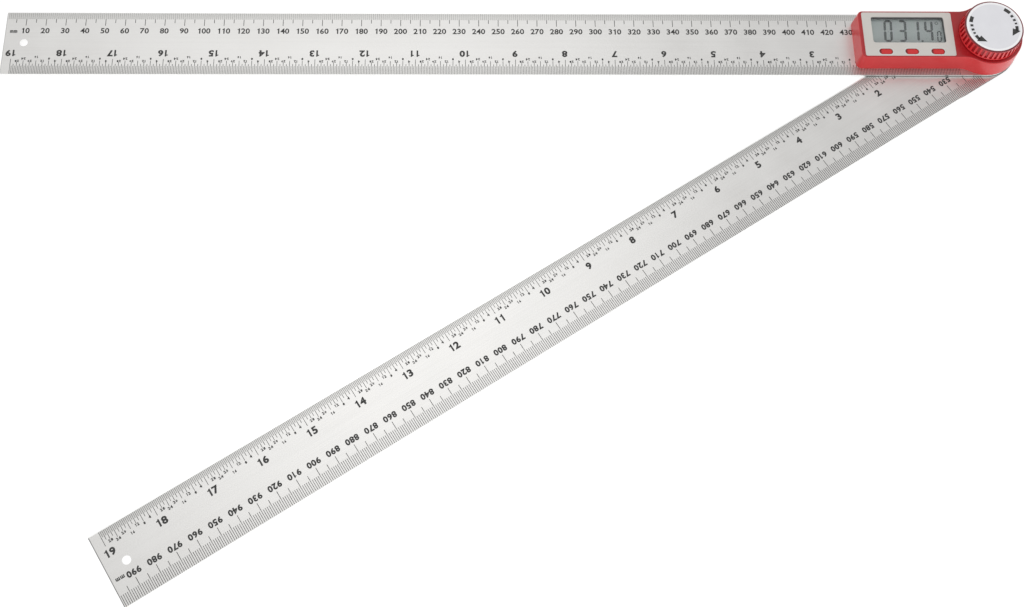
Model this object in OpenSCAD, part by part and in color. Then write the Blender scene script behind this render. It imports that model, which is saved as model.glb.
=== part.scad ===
// Digital angle finder with two long rule arms.
// Origin: pivot axis at the underside of the swing arm. The fixed arm runs along -X, +Z is up.

/* [Arms] */
// Width of each blade
blade_w = 36; // [35:0.5:44]
// Pivot to free end of each blade
arm_len = 500; // [200:10:600]
// Thickness of each blade
blade_t = 1.2; // [1:0.1:2]
// Angle between the arms
opening_angle = 32; // [15:1:180]
// Diameter of the hanging hole
hang_hole_d = 4; // [3:0.5:6]
// Hanging hole centre to free end
hang_hole_inset = 10; // [6:0.5:20]
// Rounding of the square end's corners
end_corner_r = 0.5; // [0.2:0.1:3]

/* [Pivot] */
// Thickness of the friction washer between the blades
friction_t = 0.3; // [0.3:0.05:0.6]
// Radius of the friction washer
friction_r = 13; // [9:0.5:16]
// Radius of the pivot stud's shaft
stud_r = 4; // [3.5:0.1:4.5]
// Radius of the stud's threaded end
thread_r = 3; // [2.5:0.1:3.2]
// Radius of the stud's flush head
stud_head_r = 7; // [6:0.2:10]
// Running clearance of the stud in its bush, on the radius
running_fit = 0.05; // [0.02:0.01:0.1]
// Wall of the pivot bush
bush_wall = 1; // [0.6:0.1:1.5]
// Gap between the encoder's stator ring and the boss wall
stator_gap = 1.4; // [0.5:0.1:2]
// How far the stator ring reaches past the rotor disc
rotor_inset = 2; // [1.8:0.1:3]
// Thickness of the encoder boards
encoder_t = 1; // [0.6:0.1:1.2]

/* [Housing] */
// Pivot to the housing's end wall
housing_reach = 66.4; // [65:0.2:80]
// Gap between the battery cap's lugs and the side wall
side_gap = 0.5; // [0.4:0.1:1.5]
// Radius of the round boss about the pivot
boss_r = 17.2; // [16.6:0.1:17.3]
// Radius of the blend between side wall and boss
blend_r = 12; // [6:0.5:20]
// Radius of the two upright end corners
corner_r = 2.5; // [1.5:0.1:3.5]
// Rounding of the top edge
edge_r = 0.6; // [0.3:0.05:0.7]
// Draft of the outer walls: how far they stand out at the foot
draft = 0.7; // [0.3:0.1:0.7]
// Side wall
wall_t = 1.2; // [0.8:0.1:1.2]
// Top wall
roof_t = 1.6; // [1.2:0.1:1.8]
// Radius of the screw posts
post_r = 1.5; // [1.3:0.05:1.5]
// Radius of the screw shanks
screw_r = 0.8; // [0.5:0.05:0.85]

/* [Face] */
// Housing's end wall to faceplate
plate_margin = 1.8; // [1.2:0.1:3]
// Housing's side wall to faceplate
plate_side = 0.8; // [0.7:0.1:2]
// Boss to faceplate
plate_end = 1.2; // [0.8:0.1:3]
// Thickness of the faceplate
plate_t = 0.5; // [0.3:0.05:0.6]
// Depth of the faceplate below the housing's top
plate_sunk = 0.1; // [0:0.05:0.3]
// Faceplate's outer end to window
window_start = 4.7; // [4.5:0.1:6]
// Window to faceplate's end at the boss
window_end = 4.1; // [4:0.1:6]
// Faceplate's upper side to window
window_above = 2.6; // [2.5:0.1:4]
// Window to faceplate's lower side
window_below = 7.7; // [7.5:0.1:9]
// Corner radius of the window
window_corner_r = 1.2; // [0.5:0.1:2]
// Depth of the window pane below the housing's top
pane_depth = 2.1; // [1.8:0.1:2.2]
// Length of a button
button_len = 6.7; // [5:0.1:7]
// Width of a button
button_w = 3.1; // [2.4:0.1:3.2]
// Faceplate's outer end to the first button's centre
button_start = 10.5; // [9:0.1:12]
// Last button's centre to faceplate's end at the boss
button_end = 9.1; // [8:0.1:12]
// Faceplate's lower side to the middle of the button row
button_row = 2.6; // [2.4:0.1:2.8]
// Travel of a button
button_travel = 0.5; // [0.2:0.05:0.6]

/* [Battery] */
// Diameter of the coin cell
cell_d = 20; // [18:0.5:20]
// Thickness of the coin cell
cell_t = 3.2; // [2.5:0.1:3.2]
// Turn of the battery cap from locked to open
cap_turn = 50; // [44:1:60]
// Width of the coin slot
coin_slot_w = 1.8; // [1.4:0.1:2.4]

/* [Lock knob] */
// Radius of the knob at its foot
knob_foot_r = 15.6; // [15.4:0.1:16.4]
// How much smaller the knob's radius is at its top
knob_taper = 0.7; // [0:0.1:1.2]
// Height of the knob
knob_h = 6.6; // [6:0.1:9]
// Gap between knob and housing
knob_gap = 0.4; // [0.3:0.05:0.8]
// Number of grip slots
slot_count = 40; // [24:1:48]
// Width of a grip slot
slot_w = 1.4; // [0.8:0.1:1.6]
// Depth of a grip slot
slot_depth = 0.7; // [0.3:0.05:0.9]
// Width of the rim round the knob's top disc
knob_rim = 0.8; // [0.6:0.1:3]
// Thickness of the knob's top disc
disc_t = 0.4; // [0.2:0.05:0.8]

/* [Hidden] */
$fn = 96;
over = 1;             // how far a cut runs past a face
fit = 0.05;           // gap round a piece that is glued or pressed in
slack = 0.15;         // gap round a piece that slides
bite = 0.4;           // how far posts and ribs run into the top wall

// Battery well
cell_r = cell_d / 2;
cap_r = cell_r + 0.5;
cap_sunk = 0.1;
cap_rise = 0.8;
coin_slot_len = 14;
coin_slot_depth = 0.8;
lug_count = 3;
lug_r = cap_r + 1.3;
lug_angle = 36;
notch_angle = lug_angle + 4;
holder_h = 2.5;
holder_foot = 1.4;
holder_len = 2 * (lug_r + 0.6 + holder_foot);

// Levels: the coin cell, the board and the display are stacked between the blade and the window
clear = 0.3;
contact_t = 0.3;
side_contact_w = 4;
board_t = 0.8;
strip_h = 0.8;
display_t = 1.2;
pane_t = 0.5;
blade_z = blade_t + friction_t;          // underside of the fixed blade
deck = blade_z + blade_t;                // top of the fixed blade, which the housing stands on
cell_z = deck + cap_rise + clear;        // underside of the coin cell
holder_z = cell_z;
board_z = cell_z + cell_t + contact_t;   // underside of the circuit board
board_top = board_z + board_t;
display_z = board_top + strip_h;
pane_z = display_z + display_t;          // underside of the window pane
top_z = pane_z + pane_t + pane_depth;    // top of the housing
ceiling = top_z - roof_t;                // underside of the top wall
plate_top = top_z - plate_sunk;
plate_z = plate_top - plate_t;
housing_h = top_z - deck;

// Housing outline
half_w = lug_r + side_gap + wall_t;
housing_w = 2 * half_w;
seam = 0.02;          // step where the blend's arc meets the boss, so that they don't touch at a point
blend_y = half_w + blend_r;
blend_x = round(1000 * sqrt(pow(boss_r + blend_r + seam, 2) - pow(blend_y, 2))) / 1000;
blend_turn = atan2(blend_x, blend_y);

// Face
plate_corner_r = 1;
plate_x = -housing_reach + plate_margin;
plate_len = -boss_r - plate_end - plate_x;
plate_w = housing_w - 2 * plate_side;
window_len = plate_len - window_start - window_end;
window_w = plate_w - window_above - window_below;
window_x = plate_x + window_start + window_len / 2;
window_y = plate_w / 2 - window_above - window_w / 2;
button_y = -plate_w / 2 + button_row;
button_pitch = (plate_len - button_start - button_end) / 2;
button_x = [for (i = [0:2]) plate_x + button_start + i * button_pitch];
cell_x = button_x[1];
bezel_wall = 0.6;
flange_end = 2;       // how far the bezel's flange reaches past the window's ends
flange_side = 1.5;    // and past its long sides
glass_end = 1.8;      // how far the display's glass reaches past the window's ends
glass_side = 1.25;    // and past its long sides
display_len = window_len + 2 * glass_end;
display_w = window_w + 2 * glass_side;
contact_ledge = 2;    // width of the glass that the contact strips press on

// Screws and posts
post_gap = 0.1;
post_x = [-housing_reach + wall_t + post_r + post_gap, plate_x + plate_len + 0.5];
post_y = half_w - wall_t - post_r - 0.5;
post_spots = [for (x = post_x, y = [-post_y, post_y]) [x, y]];
screw_head_t = 0.8;
screw_head_r = 2 * screw_r;
pilot_depth = 6;
board_post_r = 1.3;
board_post_y = button_y + 0.7;
board_spots = [
    [(button_x[0] + button_x[1]) / 2, board_post_y],
    [(button_x[1] + button_x[2]) / 2, board_post_y],
    [post_x[1], post_y / 2]
];
board_screw_r = 0.6;
board_pilot = 2;
board_gap = 0.3;
board_start = -housing_reach + wall_t + 2 * board_gap;
board_end = post_x[1] + post_r;

// Keypad
mat_t = 0.4;
mat_edge = 1;
dome_h = 0.6;
button_foot = board_top + mat_t + dome_h + button_travel + 0.1;
button_lip = 0.4;
button_lip_t = 0.6;
button_sunk = 0.3;
button_crown = 0.3;

// Encoder
flange_r = stud_r + 2.2;
bush_flange_t = 0.4;
hub_flange_t = 0.3;
hub_r = stud_r + fit + 1;
hub_top = 1.8;        // how far the hub stands above the rotor
rotor_z = deck + bush_flange_t + clear + hub_flange_t;
stator_z = rotor_z + encoder_t + clear;
stator_r = boss_r - wall_t - stator_gap;
stator_hole_r = hub_r + 2;
rotor_r = stator_r - rotor_inset;
stator_posts = 3;
stator_post_at = stator_r - 1.8;
stator_screw_r = 0.5;
stator_screw_head_t = 0.5;
stator_pilot = 2;

// Knob
knob_z = top_z + knob_gap;
knob_top = knob_z + knob_h;
hub_z = knob_z - 0.1;                    // the hub reaches down to the thrust washer
knob_top_r = knob_foot_r - knob_taper;
disc_r = knob_top_r - knob_rim;
knob_wall = 1.6;
knob_edge = 0.3;
deck_t = 1.2;
insert_r = thread_r + 2;
washer_t = 0.9;
washer_r = insert_r + 2;
washer_ledge = 1.4;                      // width of the ledge that the washer lies on
load_ring_h = 2;
load_rib_h = 1.5;
rib_t = 1;
under_deck = knob_top - disc_t - deck_t;
stud_top = under_deck - 0.4;
knob_rib_count = 8;
slot_foot = 0.9;
slot_head = 0.8;

steel = [0.80, 0.80, 0.79];
red = [0.78, 0.10, 0.13];
board_green = [0.12, 0.38, 0.22];
brass = [0.80, 0.65, 0.30];

// ---- plane shapes ----

// Rectangle with round corners, centred
module rounded(len, w, r) {
    difference() {
        square([len, w], center = true);
        for (x = [-1, 1], y = [-1, 1])
            translate([x * (len / 2 - r), y * (w / 2 - r)])
                difference() {
                    translate([x > 0 ? 0 : -r - over, y > 0 ? 0 : -r - over]) square(r + over);
                    circle(r);
                }
    }
}

// Slot shape with full round ends, centred
module stadium(len, w) {
    square([len - w, w], center = true);
    for (x = [-1, 1]) translate([x * (len - w) / 2, 0]) circle(d = w);
}

// Ring
module ring(outer, inner, h) {
    difference() {
        cylinder(r = outer, h = h);
        translate([0, 0, -over]) cylinder(r = inner, h = h + 2 * over);
    }
}

// Rule blade: a round end about the pivot and a square free end with a hanging hole
module blade_plan() {
    difference() {
        union() {
            circle(d = blade_w);
            translate([-arm_len, -blade_w / 2]) square([arm_len, blade_w]);
        }
        for (y = [-1, 1])
            translate([-arm_len + end_corner_r, y * (blade_w / 2 - end_corner_r)])
                difference() {
                    translate([-end_corner_r - over, y > 0 ? 0 : -end_corner_r - over])
                        square(end_corner_r + over);
                    circle(end_corner_r);
                }
        translate([-arm_len + hang_hole_inset, 0]) circle(d = hang_hole_d);
    }
}

// Housing seen from above, drawn in by inset all round: straight part, two blends and the boss
module housing_plan(inset = 0) {
    reach = housing_reach - inset;
    w = housing_w - 2 * inset;
    r = corner_r - inset;
    circle(boss_r - inset);
    translate([-reach + r, -w / 2]) square([reach - r - blend_x, w]);
    translate([-reach, -w / 2 + r]) square([r, w - 2 * r]);
    for (y = [-1, 1]) {
        intersection() {
            translate([-reach + r, y * (w / 2 - r)]) circle(r);
            translate([-reach, y > 0 ? w / 2 - r : -w / 2]) square(r);
        }
        difference() {
            polygon([[0, 0], [-blend_x, 0], [-blend_x, y * blend_y]]);
            translate([-blend_x, y * blend_y]) circle(blend_r + inset);
        }
    }
}

// What rounding takes off an edge: u outwards, v upwards, the edge at 0,0
module edge_profile() {
    difference() {
        translate([-edge_r, -edge_r]) square(edge_r + over);
        translate([-edge_r, -edge_r]) circle(edge_r);
    }
}

// Rounding of the housing's whole top edge, run along its lines and arcs
module edge_round() {
    past = 0.4;
    // end wall
    translate([-housing_reach, half_w - corner_r, 0])
        rotate([90, 0, 0]) linear_extrude(housing_w - 2 * corner_r) mirror([1, 0]) edge_profile();
    for (y = [0, 1]) mirror([0, y, 0]) {
        // side wall
        translate([-blend_x, half_w, 0]) rotate([90, 0, -90])
            linear_extrude(housing_reach - corner_r - blend_x) mirror([1, 0]) edge_profile();
        // upright corner
        translate([-housing_reach + corner_r, half_w - corner_r, 0]) rotate([0, 0, 90])
            rotate_extrude(angle = 90) translate([corner_r, 0]) edge_profile();
        // blend, run a little past the seam
        translate([-blend_x, blend_y, 0]) rotate([0, 0, -90])
            rotate_extrude(angle = blend_turn + past) translate([blend_r, 0]) mirror([1, 0]) edge_profile();
    }
    // boss
    rotate([0, 0, -90 - blend_turn - past])
        rotate_extrude(angle = 180 + 2 * (blend_turn + past)) translate([boss_r, 0]) edge_profile();
}

// Draft of the outer walls: nothing just below the rounding, growing to draft at the foot
module wall_draft() {
    h = housing_h - edge_r - 0.1;
    more = over * draft / h;
    wedge = [[draft, 0], [-draft, 0], [0, h], [draft, h]];
    // end wall
    translate([-housing_reach, half_w - corner_r, 0])
        rotate([90, 0, 0]) linear_extrude(housing_w - 2 * corner_r) polygon(wedge);
    for (y = [0, 1]) mirror([0, y, 0]) {
        // side wall
        translate([-blend_x, half_w, 0]) rotate([90, 0, -90])
            linear_extrude(housing_reach - corner_r - blend_x) polygon(wedge);
        // upright corner
        translate([-housing_reach + corner_r, half_w - corner_r, 0]) rotate([0, 0, 90])
            rotate_extrude(angle = 90) polygon([[0, 0], [corner_r + draft, 0], [corner_r, h], [0, h]]);
        // blend
        difference() {
            linear_extrude(h) polygon([[0, 0], [-blend_x, 0], [-blend_x, blend_y]]);
            translate([-blend_x, blend_y, -over])
                cylinder(r1 = blend_r - draft - more, r2 = blend_r + more, h = h + 2 * over);
        }
    }
    // boss
    cylinder(r1 = boss_r + draft, r2 = boss_r, h = h);
}

// ---- fixed arm ----

module countersunk(gap = 0) {
    translate([0, 0, blade_z]) cylinder(r1 = screw_head_r + gap, r2 = screw_r + gap, h = screw_head_t);
}

module fixed_blade() {
    color(steel) difference() {
        translate([0, 0, blade_z]) linear_extrude(blade_t) blade_plan();
        translate([0, 0, blade_z - over]) {
            cylinder(r = stud_r + running_fit + bush_wall + fit, h = blade_t + 2 * over);
            translate([cell_x, 0, 0]) {
                cylinder(r = cap_r + slack, h = blade_t + 2 * over);
                for (i = [0:lug_count - 1])
                    rotate([0, 0, i * 360 / lug_count - cap_turn - notch_angle / 2])
                        rotate_extrude(angle = notch_angle) square([lug_r + slack, blade_t + 2 * over]);
            }
            for (p = post_spots) translate(p) cylinder(r = screw_r + fit, h = blade_t + 2 * over);
        }
        for (p = post_spots) translate(p) countersunk(fit);
    }
}

module pivot_bush() {
    bore = stud_r + running_fit;
    color(brass) difference() {
        union() {
            translate([0, 0, blade_z]) cylinder(r = bore + bush_wall, h = blade_t);
            translate([0, 0, deck]) cylinder(r = flange_r, h = bush_flange_t);
        }
        translate([0, 0, blade_z - over]) cylinder(r = bore, h = blade_t + bush_flange_t + 2 * over);
    }
}

module friction_washer() {
    color([0.20, 0.20, 0.22]) translate([0, 0, blade_t]) ring(friction_r, stud_r + 0.6, friction_t);
}

module housing_shell() {
    color(red) difference() {
        union() {
            difference() {
                translate([0, 0, deck]) {
                    linear_extrude(housing_h) housing_plan();
                    wall_draft();
                }
                translate([0, 0, top_z]) edge_round();
                translate([0, 0, deck - over]) linear_extrude(housing_h - roof_t + over)
                    housing_plan(wall_t);
            }
            // posts for the screws from the blade, the board and the stator
            for (p = post_spots)
                translate([p[0], p[1], deck]) cylinder(r = post_r, h = ceiling - deck + bite);
            for (p = board_spots)
                translate([p[0], p[1], board_top]) cylinder(r = board_post_r, h = ceiling - board_top + bite);
            for (i = [0:stator_posts - 1]) rotate([0, 0, i * 360 / stator_posts])
                translate([stator_post_at, 0, stator_z + encoder_t])
                    cylinder(r = board_post_r, h = ceiling - stator_z - encoder_t + bite);
            // ring and ribs that carry the knob's clamping load to the boss wall
            translate([0, 0, ceiling - load_ring_h])
                ring(washer_r + 0.6, washer_r - washer_ledge, load_ring_h + bite);
            for (i = [0:5]) rotate([0, 0, 30 + i * 60])
                translate([washer_r, -rib_t / 2, ceiling - load_rib_h])
                    cube([boss_r - wall_t / 2 - washer_r, rib_t, load_rib_h + bite]);
        }
        // faceplate's seat, bezel's opening and button holes
        translate([plate_x + plate_len / 2, 0, plate_z])
            linear_extrude(plate_t + plate_sunk + over)
                rounded(plate_len + 2 * fit, plate_w + 2 * fit, plate_corner_r);
        translate([window_x, window_y, ceiling - over]) linear_extrude(roof_t + 2 * over)
            rounded(window_len + 2 * bezel_wall + 2 * fit, window_w + 2 * bezel_wall + 2 * fit,
                window_corner_r + bezel_wall);
        for (x = button_x) translate([x, button_y, ceiling - over])
            linear_extrude(roof_t + 2 * over) stadium(button_len + 2 * slack, button_w + 2 * slack);
        // thrust washer's seat and the stud's hole
        translate([0, 0, hub_z - washer_t]) cylinder(r = washer_r + fit, h = washer_t + over);
        translate([0, 0, ceiling - load_ring_h - over])
            cylinder(r = washer_r - washer_ledge, h = roof_t + load_ring_h + 2 * over);
        // pilot holes
        for (p = post_spots) translate([p[0], p[1], deck - over])
            cylinder(r = screw_r + fit, h = pilot_depth + over, $fn = 32);
        for (p = board_spots) translate([p[0], p[1], board_top - over])
            cylinder(r = board_screw_r + fit, h = board_pilot + over, $fn = 32);
        for (i = [0:stator_posts - 1]) rotate([0, 0, i * 360 / stator_posts])
            translate([stator_post_at, 0, stator_z])
                cylinder(r = stator_screw_r + fit, h = encoder_t + stator_pilot, $fn = 32);
    }
}

module housing_screws() {
    color(steel) for (p = post_spots) translate(p) {
        countersunk();
        translate([0, 0, blade_z]) cylinder(r = screw_r, h = blade_t + pilot_depth - 0.3, $fn = 32);
    }
}

module faceplate() {
    color([0.80, 0.80, 0.77]) translate([0, 0, plate_z]) linear_extrude(plate_t) difference() {
        translate([plate_x + plate_len / 2, 0]) rounded(plate_len, plate_w, plate_corner_r);
        translate([window_x, window_y]) rounded(window_len, window_w, window_corner_r);
        for (x = button_x) translate([x, button_y]) stadium(button_len + 2 * slack, button_w + 2 * slack);
    }
}

// Dark frame: a neck up through the top wall and a flange below it that presses on the display
module display_bezel() {
    color([0.16, 0.17, 0.18]) translate([window_x, window_y, 0]) difference() {
        union() {
            translate([0, 0, pane_z]) linear_extrude(plate_z - pane_z)
                rounded(window_len + 2 * bezel_wall, window_w + 2 * bezel_wall,
                    window_corner_r + bezel_wall);
            translate([0, 0, pane_z]) linear_extrude(ceiling - pane_z)
                rounded(window_len + 2 * flange_end, window_w + 2 * flange_side, window_corner_r);
        }
        translate([0, 0, pane_z - over]) linear_extrude(pane_t + pane_depth + 2 * over)
            rounded(window_len, window_w, window_corner_r);
    }
}

module display_window() {
    color([0.85, 0.90, 0.90, 0.4]) translate([window_x, window_y, pane_z]) linear_extrude(pane_t)
        rounded(window_len - 2 * fit, window_w - 2 * fit, window_corner_r);
}

// Liquid crystal cell: two glasses, the rear one split by the steps where the contact strips press
module display_cell() {
    glass_t = display_t / 2;
    color([0.62, 0.67, 0.66]) translate([window_x, window_y, display_z]) {
        translate([0, 0, glass_t]) linear_extrude(glass_t) square([display_len, display_w], center = true);
        linear_extrude(glass_t) square([display_len, display_w - 2 * contact_ledge], center = true);
        for (y = [-1, 1]) translate([0, y * (display_w - contact_ledge) / 2, 0])
            linear_extrude(glass_t) square([display_len - 2, contact_ledge], center = true);
    }
}

module contact_strips() {
    color([0.90, 0.60, 0.65]) for (y = [-1, 1])
        translate([window_x, window_y + y * (display_w - contact_ledge) / 2, board_top])
            linear_extrude(strip_h) square([display_len - 6, contact_ledge * 0.6], center = true);
}

module circuit_board() {
    color(board_green) translate([0, 0, board_z]) linear_extrude(board_t) difference() {
        translate([board_start, -half_w + wall_t + board_gap])
            square([board_end - board_start, housing_w - 2 * (wall_t + board_gap)]);
        for (p = post_spots) translate(p) circle(post_r + slack);
        for (p = board_spots) translate(p) circle(board_screw_r + fit);
    }
}

// Chip under a round blob of black resin, on the board's underside
module driver_chip() {
    chip_r = 3;
    chip_h = 0.8;
    dome_r = (pow(chip_r, 2) + pow(chip_h, 2)) / (2 * chip_h);
    color([0.08, 0.08, 0.08]) translate([board_start + chip_r + 1.6, chip_r / 2, board_z]) intersection() {
        translate([0, 0, dome_r - chip_h]) sphere(dome_r);
        translate([0, 0, -chip_h]) cylinder(r = chip_r, h = chip_h);
    }
}

module quartz_crystal() {
    can_r = 1;
    can_len = 6;
    color(steel) translate([board_end - 5.5, -can_len / 2, board_z - can_r])
        rotate([-90, 0, 0]) cylinder(r = can_r, h = can_len, $fn = 32);
}

module board_screws() {
    color(steel) for (p = board_spots) translate([p[0], p[1], 0]) {
        translate([0, 0, board_z - board_screw_r])
            cylinder(r = 2 * board_screw_r, h = board_screw_r, $fn = 32);
        translate([0, 0, board_z]) cylinder(r = board_screw_r, h = board_t + board_pilot - 0.2, $fn = 32);
    }
}

// Soft mat with a dome under each button
module keypad_mat() {
    color([0.75, 0.75, 0.75]) difference() {
        union() {
            translate([button_x[1], button_y, board_top]) linear_extrude(mat_t)
                rounded(2 * button_pitch + button_len + 2 * mat_edge, button_w + 0.8, 0.5);
            for (x = button_x) translate([x, button_y, board_top + mat_t])
                cylinder(r1 = button_w * 0.55, r2 = button_w * 0.35, h = dome_h, $fn = 48);
        }
        for (p = board_spots) translate([p[0], p[1], board_top - over])
            cylinder(r = board_post_r + slack, h = mat_t + 2 * over);
    }
}

// Button: cap through the faceplate, lip under the top wall and a stem over the dome
module button(i) {
    shoulder = plate_top - button_sunk - button_crown;
    color(red) translate([button_x[i], button_y, 0]) {
        translate([0, 0, ceiling]) linear_extrude(shoulder - ceiling) stadium(button_len, button_w);
        translate([0, 0, shoulder]) hull() {
            linear_extrude(0.01) stadium(button_len, button_w, $fn = 32);
            translate([0, 0, button_crown - 0.01]) linear_extrude(0.01)
                stadium(button_len - 2 * button_crown, button_w - 2 * button_crown, $fn = 32);
        }
        translate([0, 0, ceiling - button_lip_t]) linear_extrude(button_lip_t)
            stadium(button_len + 2 * button_lip, button_w + 2 * button_lip);
        translate([0, 0, button_foot]) linear_extrude(ceiling - button_lip_t - button_foot)
            stadium(button_len * 0.6, button_w * 0.6);
    }
}

module button_left() { button(0); }
module button_middle() { button(1); }
module button_right() { button(2); }

// Bridge over the cap's lugs, with the cell's round well and a slot for the side contact
module battery_holder() {
    width = housing_w - 2 * (wall_t + board_gap);
    color([0.10, 0.10, 0.11]) translate([cell_x, 0, 0]) difference() {
        translate([-holder_len / 2, -width / 2, deck])
            cube([holder_len, width, holder_z - deck + holder_h]);
        translate([0, 0, deck - over]) {
            cylinder(r = cell_r + slack, h = holder_z - deck + holder_h + 2 * over);
            translate([-holder_len / 2 + holder_foot, -width / 2 - over, 0])
                cube([holder_len - 2 * holder_foot, width + 2 * over, holder_z - deck + over]);
        }
        translate([cell_r - 0.1, -side_contact_w / 2 - slack, holder_z - over])
            cube([2 * contact_t + 0.1, side_contact_w + 2 * slack, holder_h + 2 * over]);
    }
}

module coin_cell() {
    rim = 0.4;
    color([0.85, 0.85, 0.84]) translate([cell_x, 0, cell_z]) rotate_extrude()
        polygon([
            [0, 0], [cell_r - 1.4, 0], [cell_r - 1.4 + rim, rim], [cell_r - rim, rim], [cell_r, 2 * rim],
            [cell_r, cell_t - rim], [cell_r - rim, cell_t], [0, cell_t]
        ]);
}

module cell_contact() {
    color(brass) translate([cell_x, 0, cell_z + cell_t]) linear_extrude(contact_t)
        rounded(cell_r * 0.9, cell_r * 0.7, 1);
}

module side_contact() {
    color(brass) translate([cell_x + cell_r, -side_contact_w / 2, holder_z + 2 * contact_t])
        cube([contact_t, side_contact_w, board_z - holder_z - 2 * contact_t]);
}

// Bayonet cap, flush in the blade, with a slot for a coin
module battery_cap() {
    cap_z = blade_z + cap_sunk;
    color([0.12, 0.12, 0.13]) translate([cell_x, 0, 0]) difference() {
        union() {
            translate([0, 0, cap_z]) cylinder(r = cap_r, h = deck - cap_z + cap_rise);
            for (i = [0:lug_count - 1]) rotate([0, 0, i * 360 / lug_count - lug_angle / 2])
                translate([0, 0, deck]) rotate_extrude(angle = lug_angle)
                    translate([cap_r - 2, 0]) square([lug_r - cap_r + 2, cap_rise]);
        }
        translate([0, 0, cap_z - over]) linear_extrude(coin_slot_depth + over)
            stadium(coin_slot_len, coin_slot_w);
    }
}

module encoder_stator() {
    color(board_green) difference() {
        translate([0, 0, stator_z]) ring(stator_r, stator_hole_r, encoder_t);
        for (i = [0:stator_posts - 1]) rotate([0, 0, i * 360 / stator_posts])
            translate([stator_post_at, 0, stator_z]) {
                translate([0, 0, -over])
                    cylinder(r = stator_screw_r + fit, h = encoder_t + 2 * over, $fn = 32);
                cylinder(r1 = 2 * stator_screw_r + fit, r2 = stator_screw_r + fit,
                    h = stator_screw_head_t, $fn = 32);
            }
    }
}

module stator_screws() {
    color(steel) for (i = [0:stator_posts - 1]) rotate([0, 0, i * 360 / stator_posts])
        translate([stator_post_at, 0, stator_z]) {
            cylinder(r1 = 2 * stator_screw_r, r2 = stator_screw_r, h = stator_screw_head_t, $fn = 32);
            cylinder(r = stator_screw_r, h = encoder_t + stator_pilot - 0.2, $fn = 32);
        }
}

// Flat cable from the board's underside to the top of the stator ring
module sensor_ribbon() {
    ribbon_t = 0.15;
    ribbon_w = 6;
    stator_top = stator_z + encoder_t;
    start = board_end - board_screw_r - 1;
    bend = -stator_r - 0.4;
    tip = -stator_r + 1.4;
    color([0.80, 0.50, 0.15]) translate([0, ribbon_w / 2, 0]) rotate([90, 0, 0])
        linear_extrude(ribbon_w) polygon([
            [start, board_z], [bend, board_z], [-stator_r + ribbon_t, stator_top + ribbon_t],
            [tip, stator_top + ribbon_t], [tip, stator_top], [-stator_r, stator_top],
            [bend - ribbon_t, board_z - ribbon_t], [start, board_z - ribbon_t]
        ]);
}

module thrust_washer() {
    color(steel) translate([0, 0, hub_z - washer_t]) ring(washer_r, thread_r + 0.5, washer_t);
}

// ---- swing arm ----

// Round neck with two flats, which keys the stud to its blade
module keyed_neck(gap, h) {
    intersection() {
        cylinder(r = stud_r + gap, h = h);
        translate([-stud_r - over, -stud_r * 0.8 - gap, 0])
            cube([2 * (stud_r + over), 2 * (stud_r * 0.8 + gap), h]);
    }
}

module swing_blade() {
    color(steel) rotate([0, 0, opening_angle]) difference() {
        linear_extrude(blade_t) blade_plan();
        translate([0, 0, -over]) cylinder(r = stud_head_r + fit, h = blade_t / 2 + over);
        translate([0, 0, -over]) keyed_neck(fit, blade_t + 2 * over);
    }
}

module pivot_stud() {
    shoulder = ceiling - 0.4;
    color([0.70, 0.70, 0.70]) rotate([0, 0, opening_angle]) {
        cylinder(r = stud_head_r, h = blade_t / 2);
        translate([0, 0, blade_t / 2]) keyed_neck(0, blade_t / 2);
        translate([0, 0, blade_t]) cylinder(r = stud_r, h = shoulder - blade_t);
        translate([0, 0, shoulder]) cylinder(r = thread_r, h = stud_top - shoulder - 0.3);
        translate([0, 0, stud_top - 0.3]) cylinder(r1 = thread_r, r2 = thread_r - 0.3, h = 0.3);
    }
}

// Flanged sleeve that fixes the rotor to the stud
module rotor_hub() {
    color(brass) difference() {
        union() {
            translate([0, 0, rotor_z - hub_flange_t]) cylinder(r = flange_r, h = hub_flange_t);
            translate([0, 0, rotor_z]) cylinder(r = hub_r, h = encoder_t + hub_top);
        }
        translate([0, 0, rotor_z - over]) cylinder(r = stud_r + fit, h = encoder_t + hub_top + 2 * over);
    }
}

module encoder_rotor() {
    color([0.85, 0.85, 0.75]) translate([0, 0, rotor_z]) ring(rotor_r, hub_r + fit, encoder_t);
}

// ---- lock knob ----

// Moulded knob: tapered skirt with a ring of grip slots, hub, deck and inner ribs
module lock_knob() {
    taper = atan((knob_foot_r - knob_top_r) / knob_h);
    slot_h = knob_h - slot_foot - slot_head;
    rib_foot = knob_z + 1.5;
    color(red) difference() {
        union() {
            rotate_extrude() polygon([
                [knob_foot_r - knob_wall, knob_z], [knob_foot_r - knob_edge, knob_z],
                [knob_foot_r, knob_z + knob_edge], [knob_top_r, knob_top - knob_edge],
                [knob_top_r - knob_edge, knob_top], [disc_r + fit, knob_top],
                [disc_r + fit, knob_top - disc_t], [0, knob_top - disc_t], [0, under_deck],
                [knob_top_r - knob_wall, under_deck]
            ]);
            translate([0, 0, hub_z]) ring(washer_r, insert_r + fit, under_deck - hub_z);
            for (i = [0:knob_rib_count - 1]) rotate([0, 0, i * 360 / knob_rib_count])
                translate([washer_r - bite, -rib_t / 2, rib_foot])
                    cube([knob_top_r - knob_wall - washer_r + 2 * bite, rib_t, under_deck - rib_foot]);
        }
        for (i = [0:slot_count - 1]) rotate([0, 0, i * 360 / slot_count])
            translate([knob_foot_r, 0, knob_z]) rotate([0, -taper, 0])
                translate([-slot_depth, -slot_w / 2, slot_foot]) cube([slot_depth + over, slot_w, slot_h]);
    }
}

module knob_insert() {
    color(brass) translate([0, 0, hub_z]) ring(insert_r, thread_r + running_fit, under_deck - hub_z);
}

module knob_disc() {
    color([0.87, 0.87, 0.89]) translate([0, 0, knob_top - disc_t]) cylinder(r = disc_r, h = disc_t);
}

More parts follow.
